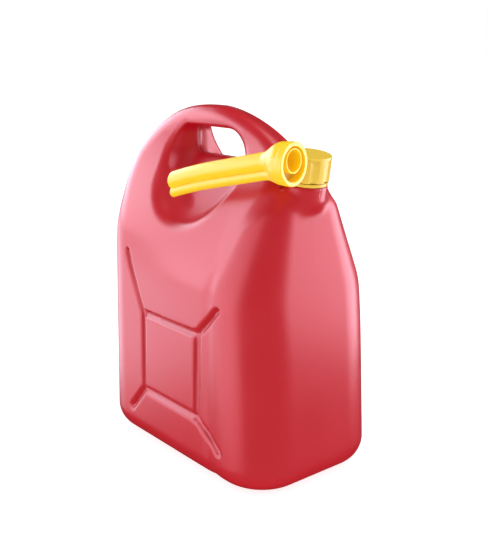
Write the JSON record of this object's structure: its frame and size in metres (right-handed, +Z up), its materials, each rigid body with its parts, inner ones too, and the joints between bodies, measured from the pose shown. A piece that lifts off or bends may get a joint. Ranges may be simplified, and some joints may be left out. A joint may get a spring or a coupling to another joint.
{
  "type": "gas can",
  "caption": "Portable plastic fuel can with a moulded handle, a screw cap on a tilted neck and a pouring spout stowed beside it.",
  "frame": {"origin": "middle of the can's footprint, on the surface it stands on", "axes": "+X to the neck end, +Y to the broad side without the spout, +Z up"},
  "size_m": [0.3472, 0.2176, 0.445],
  "materials": {
    "red_plastic": "satin blow-moulded polyethylene with a fine grain",
    "yellow_plastic": "glossy injection-moulded polyethylene, slightly translucent",
    "black_rubber": "matt nitrile rubber",
    "washer_plastic": "soft polyethylene, matt, of a deeper yellow than the spout"
  },
  "bodies": {
    "tank": {"can_body": "red_plastic"},
    "gasket": {"cap_gasket": "black_rubber"},
    "cap": {"cap": "yellow_plastic"},
    "ring": {"retaining_ring": "yellow_plastic"},
    "spout": {"spout": "yellow_plastic", "spout_gasket": "washer_plastic"}
  },
  "joints": [
    {"name": "cap_lift", "type": "slide", "parent": "tank", "child": "gasket", "axis": [0.1478, 0, 0.989], "range_m": [0, 0.0205]},
    {"name": "cap_turn", "type": "hinge", "parent": "gasket", "child": "cap", "pos_m": [0.1347, 0, 0.369], "axis": [0.1478, 0, 0.989], "range_deg": [0, 1440]},
    {"name": "ring_swivel", "type": "hinge", "parent": "tank", "child": "ring", "pos_m": [0.1347, 0, 0.369], "axis": [0.1478, 0, 0.989], "range_deg": [0, 75]},
    {"name": "spout_slide", "type": "slide", "parent": "ring", "child": "spout", "axis": [0.9833, 0.1822, 0], "range_m": [0, 0.09]}
  ],
  "couplings": [
    {"joint": "cap_lift", "follows": "cap_turn", "m_per_rad": 0.00079577}
  ]
}
